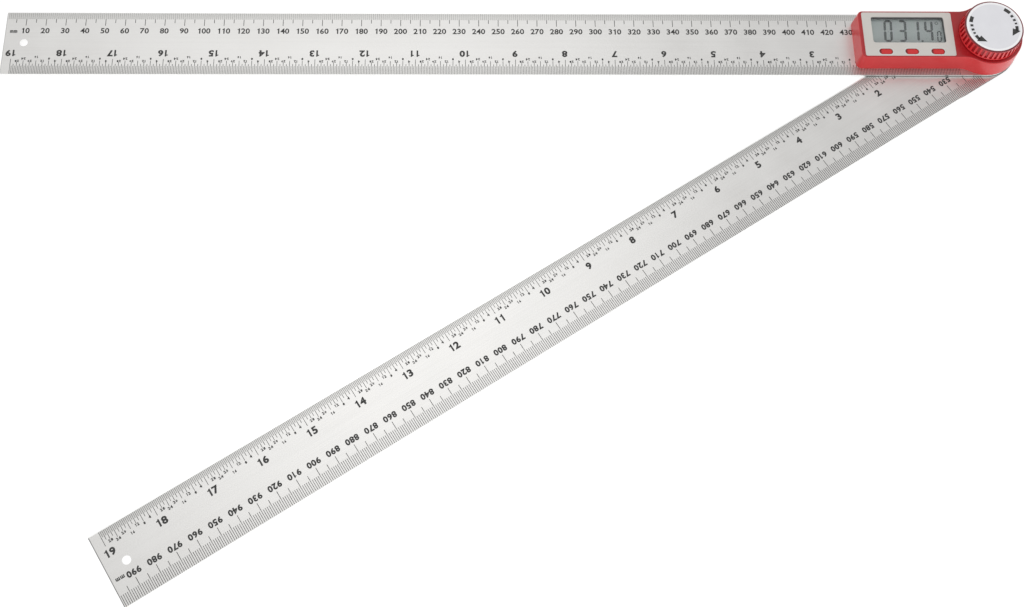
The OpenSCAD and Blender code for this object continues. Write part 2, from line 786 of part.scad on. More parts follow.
fixed_blade();
pivot_bush();
friction_washer();
housing_shell();
housing_screws();
faceplate();
display_bezel();
display_window();
display_cell();
contact_strips();
circuit_board();
driver_chip();
quartz_crystal();
board_screws();
keypad_mat();
button_left();
button_middle();
button_right();
battery_holder();
coin_cell();
cell_contact();
side_contact();
battery_cap();
encoder_stator();
stator_screws();
sensor_ribbon();
thrust_washer();
swing_blade();
pivot_stud();
rotor_hub();
encoder_rotor();
lock_knob();
knob_insert();
knob_disc();
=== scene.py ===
import math

import bmesh
import bpy
from mathutils import Matrix, Vector


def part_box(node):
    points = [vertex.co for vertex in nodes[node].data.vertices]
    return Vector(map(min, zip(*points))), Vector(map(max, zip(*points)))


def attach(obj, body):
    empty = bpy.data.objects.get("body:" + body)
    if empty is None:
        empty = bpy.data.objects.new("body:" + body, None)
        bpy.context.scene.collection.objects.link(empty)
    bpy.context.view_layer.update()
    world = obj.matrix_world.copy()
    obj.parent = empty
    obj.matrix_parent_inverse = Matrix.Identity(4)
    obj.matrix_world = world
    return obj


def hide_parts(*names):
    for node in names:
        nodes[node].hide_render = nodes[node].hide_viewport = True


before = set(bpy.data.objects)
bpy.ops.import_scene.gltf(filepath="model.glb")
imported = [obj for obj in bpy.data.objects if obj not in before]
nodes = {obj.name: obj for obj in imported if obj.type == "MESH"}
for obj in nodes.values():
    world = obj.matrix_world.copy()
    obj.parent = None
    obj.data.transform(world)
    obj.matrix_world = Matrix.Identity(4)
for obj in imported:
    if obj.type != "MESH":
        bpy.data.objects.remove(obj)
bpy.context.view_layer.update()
mm = 0.001


# ---- Viewpoint ----------------------------------------------------------------
# The photograph looks down on the opened angle finder from in front, with a
# normal lens. The three directions below are the camera's own axes.
image_width = 1024
focal_pixels = 1260.16
eye = Vector((-262.49, -344.83, 562.70)) * mm
sight_right = Vector((0.99956, -0.013902, 0.026183))
sight_up = Vector((0.004125, 0.939849, 0.341566))
sight_back = Vector((-0.029357, -0.341308, 0.939493))

camera = bpy.data.objects.new("camera", bpy.data.cameras.new("camera"))
bpy.context.scene.collection.objects.link(camera)
camera.data.sensor_width = 36
camera.data.lens = camera.data.sensor_width * focal_pixels / image_width
camera.data.clip_start = 0.01
axes = Matrix((sight_right, sight_up, sight_back)).transposed()
camera.matrix_world = Matrix.Translation(eye) @ axes.to_4x4()
bpy.context.scene.camera = camera


# ---- Swing blade --------------------------------------------------------------
# The lower rule arm, a strip of spring steel 1.2 mm thick. It is ground along
# its length, blanked with a round pivot end and a hanging hole, and printed.
arm_angle = math.radians(32)
blade_length = 500 * mm
blade_half = 18 * mm
# Where the painted highlight along each blade's far edge begins.
highlight_border_from = 17.4 * mm
soft_edge = 0.1 * mm
swing_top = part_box("swing_blade")[1].z


def wire(tree, kind, sockets=None, **settings):
    """One node in a tree: its settings, then each socket's value or link."""
    made = tree.nodes.new(kind)
    for label, value in settings.items():
        setattr(made, label, value)
    for label, value in (sockets or {}).items():
        if isinstance(value, bpy.types.NodeSocket):
            tree.links.new(value, made.inputs[label])
        else:
            made.inputs[label].default_value = value
    return made


def sum_of(tree, way, first, second, clamp=False):
    """A Math node's answer, such as first MULTIPLY second."""
    return wire(tree, "ShaderNodeMath", {0: first, 1: second},
                operation=way, use_clamp=clamp).outputs[0]


def weighed(tree, first, first_share, second, second_share):
    """Two masks added by their shares."""
    return sum_of(tree, "ADD", sum_of(tree, "MULTIPLY", first, first_share),
                  sum_of(tree, "MULTIPLY", second, second_share))


def blend_colour(tree, share, first, second):
    """A colour between two others, by a share from 0 to 1."""
    mixed = wire(tree, "ShaderNodeMix", {0: share, 6: first, 7: second}, data_type="RGBA")
    return mixed.outputs[2]


def spread(tree, value, low, high, to_low=0.0, to_high=1.0):
    """A value mapped smoothly from one range to another."""
    return wire(tree, "ShaderNodeMapRange",
                {0: value, 1: low, 2: high, 3: to_low, 4: to_high},
                interpolation_type="SMOOTHSTEP").outputs[0]


def parts_of(tree, vector):
    """The x, y and z of a place or a direction."""
    return wire(tree, "ShaderNodeSeparateXYZ", {0: vector}).outputs


def new_group(kind, name, takes, gives):
    """An empty node group with named inputs and outputs."""
    tree = bpy.data.node_groups.new(name, kind)
    for label, (form, value) in takes.items():
        socket = tree.interface.new_socket(label, in_out="INPUT",
                                           socket_type="NodeSocket" + form)
        if value is not None:
            socket.default_value = value
    for label, form in gives.items():
        tree.interface.new_socket(label, in_out="OUTPUT", socket_type="NodeSocket" + form)
    return (tree, tree.nodes.new("NodeGroupInput").outputs,
            tree.nodes.new("NodeGroupOutput").inputs)


def group_in(tree, group, sockets):
    """A shader group placed in a material, with its own values."""
    return wire(tree, "ShaderNodeGroup", sockets, node_tree=group).outputs


cloud, cloud_in, cloud_out = new_group("ShaderNodeTree", "cloudiness", {
    "Place": ("Vector", None), "Per Metre": ("Float", 50.0), "Contrast": ("Float", 1.0)},
    {"Mask": "Float"})
cloud_noise = wire(cloud, "ShaderNodeTexNoise", {
    "Vector": cloud_in["Place"], "Scale": cloud_in["Per Metre"],
    "Detail": 4.0, "Roughness": 0.55})
cloud_low = sum_of(cloud, "SUBTRACT", cloud_noise.outputs["Fac"], 0.5)
cloud_wide = sum_of(cloud, "MULTIPLY", cloud_low, cloud_in["Contrast"])
cloud.links.new(sum_of(cloud, "ADD", cloud_wide, 0.5, clamp=True), cloud_out["Mask"])

grind, grind_in, grind_out = new_group("ShaderNodeTree", "grinding_lines", {
    "Place": ("Vector", None), "Along": ("Float", 30.0), "Across": ("Float", 3000.0)},
    {"Shade": "Float", "Height": "Float"})
stretch = wire(grind, "ShaderNodeCombineXYZ", {
    0: grind_in["Along"], 1: grind_in["Across"], 2: grind_in["Across"]})
stretched = wire(grind, "ShaderNodeVectorMath", {0: grind_in["Place"], 1: stretch.outputs[0]},
                 operation="MULTIPLY")
grind_noise = wire(grind, "ShaderNodeTexNoise", {
    "Vector": stretched.outputs[0], "Scale": 1.0, "Detail": 3.0, "Roughness": 0.65})
grind.links.new(spread(grind, grind_noise.outputs["Fac"], 0.3, 0.7), grind_out["Shade"])
grind.links.new(grind_noise.outputs["Fac"], grind_out["Height"])


def clouds_on(tree, place, per_metre, contrast):
    """Soft clouds over a surface, as a mask from 0 to 1."""
    return group_in(tree, cloud, {
        "Place": place, "Per Metre": per_metre, "Contrast": contrast})["Mask"]


def new_material(name, turn=0.0):
    """A material's tree, its shader and the place that its patterns read."""
    material = bpy.data.materials.new(name)
    material.use_nodes = True
    tree = material.node_tree
    tree.nodes.clear()
    shader = tree.nodes.new("ShaderNodeBsdfPrincipled")
    output = tree.nodes.new("ShaderNodeOutputMaterial")
    tree.links.new(shader.outputs[0], output.inputs["Surface"])
    place = wire(tree, "ShaderNodeTexCoord").outputs["Object"]
    if turn:
        turned = wire(tree, "ShaderNodeMapping", {"Vector": place, "Rotation": (0, 0, turn)})
        place = turned.outputs[0]
    return material, tree, shader, place


def feed(tree, shader, colour, roughness):
    """A finished colour and roughness reach the shader."""
    tree.links.new(colour, shader.inputs["Base Color"])
    tree.links.new(roughness, shader.inputs["Roughness"])


def relief(tree, shader, height, strength, depth):
    """A height pattern felt by the shader's normal."""
    bump = wire(tree, "ShaderNodeBump", {
        "Strength": strength, "Distance": depth, "Height": height})
    tree.links.new(bump.outputs[0], shader.inputs["Normal"])


def ground_steel(name, turn, bands, end_line, shade_from):
    """Satin ground steel with soft clouds, turned by as much as the blade is.

    Each band along an edge is greyed by fine etched lines. It gives where the
    band starts along the blade, its inner line, and how light it stays. The side
    faces and a thin border at the far edge get a painted highlight, and from the
    point given last, at the round end, they get painted shade instead. The
    end_line is how dark a thin strip across the free end is made.
    """
    material, tree, shader, place = new_material(name, turn)
    lines = group_in(tree, grind, {"Place": place, "Along": 22.0, "Across": 2600.0})
    streaks = group_in(tree, grind, {"Place": place, "Along": 5.0, "Across": 420.0})
    clouds = clouds_on(tree, place, 34.0, 2.2)
    mixed = weighed(tree, lines["Shade"], 0.22, clouds, 0.63)
    mixed = sum_of(tree, "ADD", mixed, sum_of(tree, "MULTIPLY", streaks["Shade"], 0.15))
    finish = blend_colour(tree, mixed, (0.66, 0.65, 0.635, 1), (0.77, 0.765, 0.75, 1))
    along, across, _ = parts_of(tree, place)
    for start, inner, lightness in bands:
        on_band = spread(tree, across, inner - soft_edge, inner + soft_edge)
        if inner > 0:
            outward = spread(tree, across, inner, blade_half)
        else:
            on_band = sum_of(tree, "SUBTRACT", 1.0, on_band)
            outward = spread(tree, across, -blade_half, inner, 1.0, 0.0)
        begun = spread(tree, along, start - soft_edge, start + soft_edge)
        on_band = sum_of(tree, "MULTIPLY", on_band, begun)
        deeper = sum_of(tree, "ADD", sum_of(tree, "MULTIPLY", outward, 0.4), 0.6)
        etched = blend_colour(tree, 1.0 - lightness, finish, (0.02, 0.03, 0.015, 1))
        finish = blend_colour(tree, sum_of(tree, "MULTIPLY", on_band, deeper), finish, etched)
    # A thin strip across the top at the free end is darkened.
    free_end_strip = spread(tree, along, -blade_length + 0.2 * mm, -blade_length + 0.55 * mm, end_line, 0.0)
    finish = blend_colour(tree, free_end_strip, finish, (0.05, 0.05, 0.05, 1))
    # Painted highlight on the side faces and the far border, and painted shade on them at the
    # round end.
    facing = wire(tree, "ShaderNodeNewGeometry").outputs["True Normal"]
    level = sum_of(tree, "ABSOLUTE", parts_of(tree, facing)[2], 0.0)
    painted_sides = spread(tree, level, 0.3, 0.7, 1.0, 0.0)
    border_highlight = spread(tree, across, highlight_border_from, highlight_border_from + soft_edge)
    bright = sum_of(tree, "MAXIMUM", painted_sides, border_highlight)
    round_end_shade = spread(tree, along, shade_from, shade_from + 6 * mm)
    side = blend_colour(tree, round_end_shade, (0.97, 0.97, 0.96, 1), (0.07, 0.06, 0.06, 1))
    dull = weighed(tree, lines["Shade"], 0.05, clouds, 0.07)
    feed(tree, shader, blend_colour(tree, bright, finish, side),
         sum_of(tree, "ADD", dull, 0.33))
    shader.inputs["Metallic"].default_value = 1.0
    relief(tree, shader, lines["Height"], 0.12, 0.02 * mm)
    return material


def dress(node, material):
    """A CAD node keeps its mesh and takes a finished material."""
    for held in nodes[node].material_slots:
        held.material = material


dress("swing_blade", ground_steel("swing_blade_steel", -arm_angle, (
    (-495.2 * mm, 14.4 * mm, 0.80), (-499.2 * mm, -12.5 * mm, 0.96)),
    end_line=0.75, shade_from=-30 * mm))


# ---- Swing blade: engraved scales -----------------------------------------------
# Millimetres run on from the fixed blade, 500 at the pivot to 1000 at the free
# end, and inches are split into 32 parts. The lines are etched and filled black.
ink_proud = 0.02 * mm
ink_sunk = 0.02 * mm
ink_width = 0.28 * mm
inch = 25.4 * mm
near_edge = -17.95 * mm
far_edge = 17.45 * mm
first_millimetre = -499 * mm
swing_inches_from = -495 * mm

etched_ink, ink_tree, ink_shader, ink_place = new_material("etched_ink")
ink_wear = clouds_on(ink_tree, ink_place, 700.0, 2.5)
feed(ink_tree, ink_shader,
     blend_colour(ink_tree, ink_wear, (0.012, 0.012, 0.012, 1), (0.05, 0.05, 0.048, 1)),
     spread(ink_tree, ink_wear, 0, 1, 0.45, 0.65))
relief(ink_tree, ink_shader, ink_wear, 0.2, 0.01 * mm)


def growing_tree(name, takes):
    """An empty Geometry Nodes tree with named inputs and one geometry output."""
    return new_group("GeometryNodeTree", name, takes, {"Geometry": "Geometry"})


def row_of(tree, count, pitch, along, across=0.0, height=0.0):
    """Evenly spaced points in a row along a blade or a face."""
    start = wire(tree, "ShaderNodeCombineXYZ", {0: along, 1: across, 2: height})
    step = wire(tree, "ShaderNodeCombineXYZ", {0: pitch})
    return wire(tree, "GeometryNodeMeshLine", {
        "Count": count, "Start Location": start.outputs[0],
        "Offset": step.outputs[0]}).outputs[0]


def finish_tree(tree, instances, material, result):
    """Every tree ends in real geometry with its finish on it."""
    real = wire(tree, "GeometryNodeRealizeInstances", {"Geometry": instances})
    coated = wire(tree, "GeometryNodeSetMaterial", {
        "Geometry": real.outputs[0], "Material": material})
    tree.links.new(coated.outputs[0], result["Geometry"])


def grown(tree, name, values, seed=None):
    """Runs a tree once, with its sizes, and hands back the plain mesh."""
    carrier = bpy.data.objects.new(name + "_carrier", seed or bpy.data.meshes.new(name + "_seed"))
    bpy.context.scene.collection.objects.link(carrier)
    modifier = carrier.modifiers.new("growth", "NODES")
    modifier.node_group = tree
    for item in tree.interface.items_tree:
        if item.item_type == "SOCKET" and item.in_out == "INPUT" and item.name in values:
            modifier[item.identifier] = values[item.name]
    graph = bpy.context.evaluated_depsgraph_get()
    mesh = bpy.data.meshes.new_from_object(carrier.evaluated_get(graph))
    mesh.name = name
    bpy.data.objects.remove(carrier)
    return mesh


def piece(name, mesh, body, material=None):
    """A finished mesh becomes a piece of the object and rides on its body."""
    made = bpy.data.objects.new(name, mesh)
    bpy.context.scene.collection.objects.link(made)
    if material:
        mesh.materials.clear()
        mesh.materials.append(material)
    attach(made, body)
    return made


def scale_tree(name, ranks):
    """A row of lines from an edge. Each rank is a longer line at every so many.

    Up to the fine reach all lines have the fine width, and past it the ranked
    ones go on with their own.
    """
    takes = {
        "First": ("Float", 0.0), "Pitch": ("Float", mm), "Count": ("Int", 10),
        "Index Of First": ("Int", 0), "Edge": ("Float", blade_half), "Inward": ("Float", -1.0),
        "Top": ("Float", swing_top), "Line Width": ("Float", ink_width),
        "Fine Width": ("Float", ink_width), "Fine Reach": ("Float", mm),
        "Ink": ("Material", None)}
    takes.update({label + " Reach": ("Float", mm) for label in ranks})
    tree, given, result = growing_tree(name, takes)
    row = row_of(tree, given["Count"], given["Pitch"], given["First"], given["Edge"],
                 given["Top"])
    number = wire(tree, "GeometryNodeInputIndex").outputs[0]
    number = sum_of(tree, "ADD", number, given["Index Of First"])
    reach = given["Fine Reach"]
    for label, every in ranks.items():
        rest = sum_of(tree, "FLOORED_MODULO", number, float(every))
        on_rank = sum_of(tree, "LESS_THAN", rest, 0.5)
        reach = wire(tree, "GeometryNodeSwitch", {
            "Switch": on_rank, "False": reach, "True": given[label + " Reach"]},
            input_type="FLOAT").outputs[0]
    further = sum_of(tree, "SUBTRACT", reach, given["Fine Reach"])
    ranked = wire(tree, "FunctionNodeCompare", {0: further, 1: 0.0001 * mm},
                  operation="GREATER_THAN").outputs[0]
    stroke = wire(tree, "GeometryNodeMeshCube", {"Size": (1, 1, 1)})
    both = tree.nodes.new("GeometryNodeJoinGeometry")
    for begin, length, width, chosen in (
            (0.0, given["Fine Reach"], given["Fine Width"], True),
            (given["Fine Reach"], further, given["Line Width"], ranked)):
        middle = sum_of(tree, "ADD", sum_of(tree, "MULTIPLY", length, 0.5), begin)
        inward = sum_of(tree, "MULTIPLY", middle, given["Inward"])
        shift = wire(tree, "ShaderNodeCombineXYZ", {1: inward})
        placed = wire(tree, "GeometryNodeSetPosition", {
            "Geometry": row, "Offset": shift.outputs[0]})
        size = wire(tree, "ShaderNodeCombineXYZ", {
            0: width, 1: length, 2: ink_proud + ink_sunk})
        lines = wire(tree, "GeometryNodeInstanceOnPoints", {
            "Points": placed.outputs[0], "Selection": chosen,
            "Instance": stroke.outputs[0], "Scale": size.outputs[0]})
        tree.links.new(lines.outputs[0], both.inputs[0])
    finish_tree(tree, both.outputs[0], given["Ink"], result)
    return tree


metric_scale = scale_tree("metric_scale", {"Five": 5, "Ten": 10})
inch_scale = scale_tree("inch_scale", {"Sixteenth": 2, "Eighth": 4, "Quarter": 8, "Inch": 32})


def on_swing_blade(name, mesh, material=None):
    """Marks laid out along x are turned with the swing blade and ride on it."""
    mesh.transform(Matrix.Rotation(arm_angle, 4, "Z"))
    piece(name, mesh, "swing_arm", material)


on_swing_blade("swing_blade_metric_scale", grown(metric_scale, "swing_blade_metric_scale", {
    "First": first_millimetre, "Pitch": mm, "Count": 488, "Index Of First": 1,
    "Edge": near_edge, "Inward": 1.0, "Top": swing_top,
    "Line Width": ink_width, "Fine Width": 0.24 * mm, "Fine Reach": 5.5 * mm,
    "Five Reach": 7.9 * mm, "Ten Reach": 9.3 * mm, "Ink": etched_ink}))

on_swing_blade("swing_blade_inch_scale", grown(inch_scale, "swing_blade_inch_scale", {
    "First": swing_inches_from, "Pitch": inch / 32, "Count": 600, "Index Of First": 0,
    "Edge": far_edge, "Inward": -1.0, "Top": swing_top,
    "Line Width": 0.24 * mm, "Fine Width": 0.17 * mm, "Fine Reach": 2.9 * mm,
    "Sixteenth Reach": 4.6 * mm, "Eighth Reach": 5.2 * mm, "Quarter Reach": 6.2 * mm,
    "Inch Reach": 7.2 * mm, "Ink": etched_ink}))


# ---- Swing blade: numbers -------------------------------------------------------
# Bold printed numbers stand against every tenth millimetre line and every inch
# line, with small numbers counting every fourth part of an inch between them.
glyphs = {}
one_outline = [(-0.03, 0.0), (0.17, 0.0), (0.17, 1.0), (0.02, 1.0), (-0.01, 0.91),
               (-0.08, 0.86), (-0.19, 0.84), (-0.19, 0.70), (-0.03, 0.71)]


def prism(gathered, corners, low, high):
    """A flat shape with upright sides, from its corners in turn."""
    foot = [gathered.verts.new((x, y, low)) for x, y in corners]
    head = [gathered.verts.new((x, y, high)) for x, y in corners]
    gathered.faces.new(foot[::-1])
    gathered.faces.new(head)
    for i in range(len(corners)):
        j = (i + 1) % len(corners)
        gathered.faces.new((foot[i], foot[j], head[j], head[i]))


def mesh_of(gathered, name, weld=False):
    """What was gathered as one mesh, with doubles merged and faces outwards if welded."""
    if weld:
        bmesh.ops.remove_doubles(gathered, verts=gathered.verts, dist=1e-7)
        bmesh.ops.recalc_face_normals(gathered, faces=gathered.faces)
    mesh = bpy.data.meshes.new(name)
    gathered.to_mesh(mesh)
    gathered.free()
    return mesh


def glyph(letter, weight, detail):
    """One figure as a thin solid mesh, one unit tall, centred and standing on y = 0."""
    if (letter, weight, detail) in glyphs:
        return glyphs[letter, weight, detail]
    if letter == "1":
        figure = bmesh.new()
        prism(figure, one_outline, -0.5, 0.5)
        mesh = mesh_of(figure, "figure_one")
    else:
        curve = bpy.data.curves.new("figure", "FONT")
        curve.body = letter
        curve.offset = weight
        curve.resolution_u = detail
        curve.extrude = 0.5
        carrier = bpy.data.objects.new("figure", curve)
        bpy.context.scene.collection.objects.link(carrier)
        bpy.context.view_layer.update()
        graph = bpy.context.evaluated_depsgraph_get()
        mesh = bpy.data.meshes.new_from_object(carrier.evaluated_get(graph))
        bpy.data.objects.remove(carrier)
        bpy.data.curves.remove(curve)
        left, right = (pick(v.co.x for v in mesh.vertices) for pick in (min, max))
        low, high = (pick(v.co.y for v in mesh.vertices) for pick in (min, max))
        size = 1 / (high - low)
        centred = Matrix.Translation((-(left + right) / 2, -low, 0))
        mesh.transform(Matrix.Diagonal((size, size, 1, 1)) @ centred)
    glyphs[letter, weight, detail] = mesh
    return mesh


def lettered(text, height, pitch=0.70, weight=0.045, wide=1.06, detail=3):
    """Figures side by side as one thin solid mesh, centred and standing on y = 0."""
    row = bmesh.new()
    for i, letter in enumerate(text):
        figure = glyph(letter, weight, detail).copy()
        along = (i - (len(text) - 1) / 2) * pitch * height
        figure.transform(Matrix.Translation((along, 0, 0)) @ Matrix.Diagonal(
            (height * wide, height, ink_proud + ink_sunk, 1)))
        row.from_mesh(figure)
        bpy.data.meshes.remove(figure)
    return mesh_of(row, "numerals")


def put(gathered, mesh, along, foot, top, turned=False):
    """Adds figures with their foot line at foot, upside down if turned."""
    turn = Matrix.Rotation(math.pi if turned else 0.0, 4, "Z")
    mesh.transform(Matrix.Translation((along, foot, top)) @ turn)
    gathered.from_mesh(mesh)
    bpy.data.meshes.remove(mesh)


# The millimetre figures stand 0.4 mm nearer the pivot than their lines.
swing_numbers = bmesh.new()
for value in range(530, 1000, 10):
    put(swing_numbers, lettered(str(value), 3.1 * mm, pitch=0.74),
        along=(500.4 - value) * mm, foot=-4.65 * mm, top=swing_top, turned=True)
put(swing_numbers, lettered("mm", 1.5 * mm, pitch=1.5, weight=0.05, wide=0.95),
    along=-495.9 * mm, foot=-4.75 * mm, top=swing_top, turned=True)
for value in range(19, 1, -1):
    put(swing_numbers, lettered(str(value), 3.7 * mm, pitch=0.76, wide=1.12),
        along=-494.7 * mm + (19 - value) * inch, foot=4.95 * mm, top=swing_top)
on_swing_blade("swing_blade_numbers", mesh_of(swing_numbers, "swing_blade_numbers", weld=True),
               etched_ink)

fraction_sets, fraction_in, fraction_out = growing_tree("inch_fraction_numbers", {
    "One Inch": ("Geometry", None), "First": ("Float", 0.0), "Pitch": ("Float", inch),
    "Count": ("Int", 17), "Ink": ("Material", None)})
set_row = row_of(fraction_sets, fraction_in["Count"], fraction_in["Pitch"],
                 fraction_in["First"])
set_copies = wire(fraction_sets, "GeometryNodeInstanceOnPoints", {
    "Points": set_row, "Instance": fraction_in["One Inch"]})
finish_tree(fraction_sets, set_copies.outputs[0], fraction_in["Ink"], fraction_out)


def one_inch(feet, height, top, turned):
    """The seven small numbers of one inch: 28 comes right after the longer line."""
    gathered = bmesh.new()
    for value in range(28, 0, -4):
        foot = feet[16] if value == 16 else feet[24] if value in (24, 8) else feet[28]
        put(gathered, lettered(str(value), height, pitch=0.80, weight=0.05, wide=1.1, detail=1),
            (32 - value) / 32 * inch, foot, top, turned)
    return mesh_of(gathered, "one_inch_numbers", weld=True)


on_swing_blade("swing_blade_fraction_numbers", grown(
    fraction_sets, "swing_blade_fraction_numbers",
    {"First": swing_inches_from, "Pitch": inch, "Count": 18, "Ink": etched_ink},
    one_inch({28: 10.8 * mm, 24: 9.6 * mm, 16: 8.6 * mm}, 1.45 * mm, swing_top, False)))


# ---- Pivot ----------------------------------------------------------------------
# A turned steel stud with a flush head is keyed to the swing blade. It runs in a
# flanged brass bush in the fixed blade, with a plastic washer between the blades.
def turned_metal(name, dark, light, roughness):
    """Turned or pressed metal with fine rings of tool marks and handling clouds."""
    material, tree, shader, place = new_material(name)
    lines = group_in(tree, grind, {"Place": place, "Along": 1800.0, "Across": 1800.0})
    clouds = clouds_on(tree, place, 260.0, 2.0)
    share = weighed(tree, lines["Shade"], 0.4, clouds, 0.6)
    feed(tree, shader, blend_colour(tree, share, (*dark, 1), (*light, 1)),
         spread(tree, clouds, 0, 1, roughness - 0.06, roughness + 0.08))
    shader.inputs["Metallic"].default_value = 1.0
    relief(tree, shader, lines["Height"], 0.3, 0.01 * mm)
    return material


bright_steel = turned_metal("bright_steel", (0.50, 0.50, 0.49), (0.74, 0.74, 0.73), 0.26)
spring_brass = turned_metal("spring_brass", (0.60, 0.42, 0.16), (0.80, 0.62, 0.30), 0.30)
dress("pivot_stud", bright_steel)
dress("pivot_bush", spring_brass)


def moulded(name, deep, pale, roughness, grain_per_metre, grain_depth, coat=0.0):
    """Moulded plastic: colour clouds, fine mould texture and faint handling marks."""
    material, tree, shader, place = new_material(name)
    clouds = clouds_on(tree, place, 70.0, 1.5)
    grain = clouds_on(tree, place, grain_per_metre, 2.0)
    rubs = clouds_on(tree, place, 320.0, 5.0)
    share = weighed(tree, clouds, 0.92, grain, 0.08)
    dull = weighed(tree, rubs, 0.07, grain, 0.05)
    feed(tree, shader, blend_colour(tree, share, (*deep, 1), (*pale, 1)),
         sum_of(tree, "ADD", dull, roughness))
    shader.inputs["Coat Weight"].default_value = coat
    shader.inputs["Coat Roughness"].default_value = 0.12
    relief(tree, shader, grain, 0.12, grain_depth)
    return material


black_moulding = moulded("black_moulding", (0.012, 0.012, 0.013), (0.03, 0.03, 0.032),
                         roughness=0.42, grain_per_metre=2600.0, grain_depth=0.02 * mm)
dress("friction_washer", black_moulding)


# ---- Fixed blade ----------------------------------------------------------------
# The upper rule arm, the same ground steel strip. It carries the housing, and
# its scales count from the free end: millimetres to 500, inches back from 19.
fixed_inches_from = -495.4 * mm
fixed_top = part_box("fixed_blade")[1].z
dress("fixed_blade", ground_steel("fixed_blade_steel", 0.0, (
    (-499.2 * mm, 13.8 * mm, 0.80), (-495.5 * mm, -13.3 * mm, 0.86)),
    end_line=0.25, shade_from=4 * mm))

piece("fixed_blade_metric_scale", grown(metric_scale, "fixed_blade_metric_scale", {
    "First": first_millimetre, "Pitch": mm, "Count": 480, "Index Of First": 1,
    "Edge": far_edge, "Inward": -1.0, "Top": fixed_top,
    "Line Width": 0.30 * mm, "Fine Width": 0.08 * mm, "Fine Reach": 3.65 * mm,
    "Five Reach": 5.75 * mm, "Ten Reach": 7.35 * mm, "Ink": etched_ink}), "fixed_arm")

piece("fixed_blade_inch_scale", grown(inch_scale, "fixed_blade_inch_scale", {
    "First": fixed_inches_from, "Pitch": inch / 32, "Count": 608, "Index Of First": 0,
    "Edge": near_edge, "Inward": 1.0, "Top": fixed_top,
    "Line Width": 0.26 * mm, "Fine Width": 0.18 * mm, "Fine Reach": 4.65 * mm,
    "Sixteenth Reach": 5.75 * mm, "Eighth Reach": 6.95 * mm, "Quarter Reach": 7.65 * mm,
    "Inch Reach": 8.55 * mm, "Ink": etched_ink}), "fixed_arm")

fixed_numbers = bmesh.new()
for value in range(10, 440, 10):
    put(fixed_numbers, lettered(str(value), 3.15 * mm, pitch=0.72, weight=0.025),
        along=(value - 500.05) * mm, foot=5.5 * mm, top=fixed_top)
put(fixed_numbers, lettered("mm", 1.6 * mm, pitch=1.2, weight=0.05, wide=0.8),
    along=-495.8 * mm, foot=5.7 * mm, top=fixed_top)
for value in range(19, 2, -1):
    put(fixed_numbers, lettered(str(value), 3.7 * mm, pitch=0.78, wide=1.14),
        along=-495.6 * mm + (19 - value) * inch, foot=-4.15 * mm, top=fixed_top, turned=True)
piece("fixed_blade_numbers", mesh_of(fixed_numbers, "fixed_blade_numbers", weld=True),
      "fixed_arm", etched_ink)

piece("fixed_blade_fraction_numbers", grown(
    fraction_sets, "fixed_blade_fraction_numbers",
    {"First": fixed_inches_from, "Pitch": inch, "Count": 17, "Ink": etched_ink},
    one_inch({28: -9.9 * mm, 24: -8.5 * mm, 16: -7.55 * mm}, 1.4 * mm, fixed_top, True)),
    "fixed_arm")


# ---- Housing --------------------------------------------------------------------
# One glossy red ABS moulding with a round boss about the pivot. Four countersunk
# screws pull it down on the fixed blade from underneath.
housing_red = moulded("housing_red", (0.62, 0.030, 0.034), (0.72, 0.038, 0.042),
                      roughness=0.28, grain_per_metre=1500.0, grain_depth=0.01 * mm, coat=0.2)


def shaded(material, mask, colour):
    """Paints shade: lays a darker colour over a finished plastic where the mask is one."""
    tree = material.node_tree
    socket = tree.nodes["Principled BSDF"].inputs["Base Color"]
    plain = socket.links[0].from_socket
    tree.links.new(blend_colour(tree, mask, plain, (*colour, 1)), socket)


# The level top is painted darker than the walls, as painted shade: the walls catch the lamps.
red_tree = housing_red.node_tree
red_facing = wire(red_tree, "ShaderNodeNewGeometry").outputs["True Normal"]
red_up = parts_of(red_tree, red_facing)[2]
shaded(housing_red, spread(red_tree, red_up, 0.4, 0.97), (0.36, 0.006, 0.010))
dress("housing_shell", housing_red)
dress("housing_screws", bright_steel)


# ---- Battery --------------------------------------------------------------------
# A lithium coin cell lies in a black holder between two sprung brass contacts.
# A bayonet cap with a coin slot closes the hole under it in the fixed blade.
for black in ("battery_cap", "battery_holder"):
    dress(black, black_moulding)
for brass in ("cell_contact", "side_contact"):
    dress(brass, spring_brass)
dress("coin_cell", bright_steel)


# ---- Electronics ----------------------------------------------------------------
# A green laminate board carries the driver chip and a small quartz crystal. The
# encoder's two laminate rings measure the angle, and a flat cable joins them.
green_laminate = moulded("green_laminate", (0.010, 0.085, 0.030), (0.020, 0.150, 0.055),
                         roughness=0.30, grain_per_metre=900.0, grain_depth=0.02 * mm)
amber_film = moulded("amber_film", (0.42, 0.16, 0.02), (0.55, 0.24, 0.04),
                     roughness=0.32, grain_per_metre=1200.0, grain_depth=0.01 * mm)
for laminate in ("circuit_board", "encoder_stator", "encoder_rotor"):
    dress(laminate, green_laminate)
dress("sensor_ribbon", amber_film)
dress("driver_chip", black_moulding)
for metal in ("quartz_crystal", "board_screws", "stator_screws"):
    dress(metal, bright_steel)


# ---- Keypad ---------------------------------------------------------------------
# Three red oblong buttons stand on the domes of one grey silicone mat. Each sits
# a little below the face, in an opening with a raised rounded rim, painted paler as a highlight.
left_key = -54.1 * mm
key_pitch = 13.3 * mm
key_row = -10.1 * mm
grey_silicone = moulded("grey_silicone", (0.16, 0.16, 0.165), (0.24, 0.24, 0.245),
                        roughness=0.62, grain_per_metre=1800.0, grain_depth=0.03 * mm)
button_red = moulded("button_red", (0.54, 0.012, 0.014), (0.64, 0.020, 0.020),
                     roughness=0.30, grain_per_metre=1500.0, grain_depth=0.01 * mm, coat=0.1)
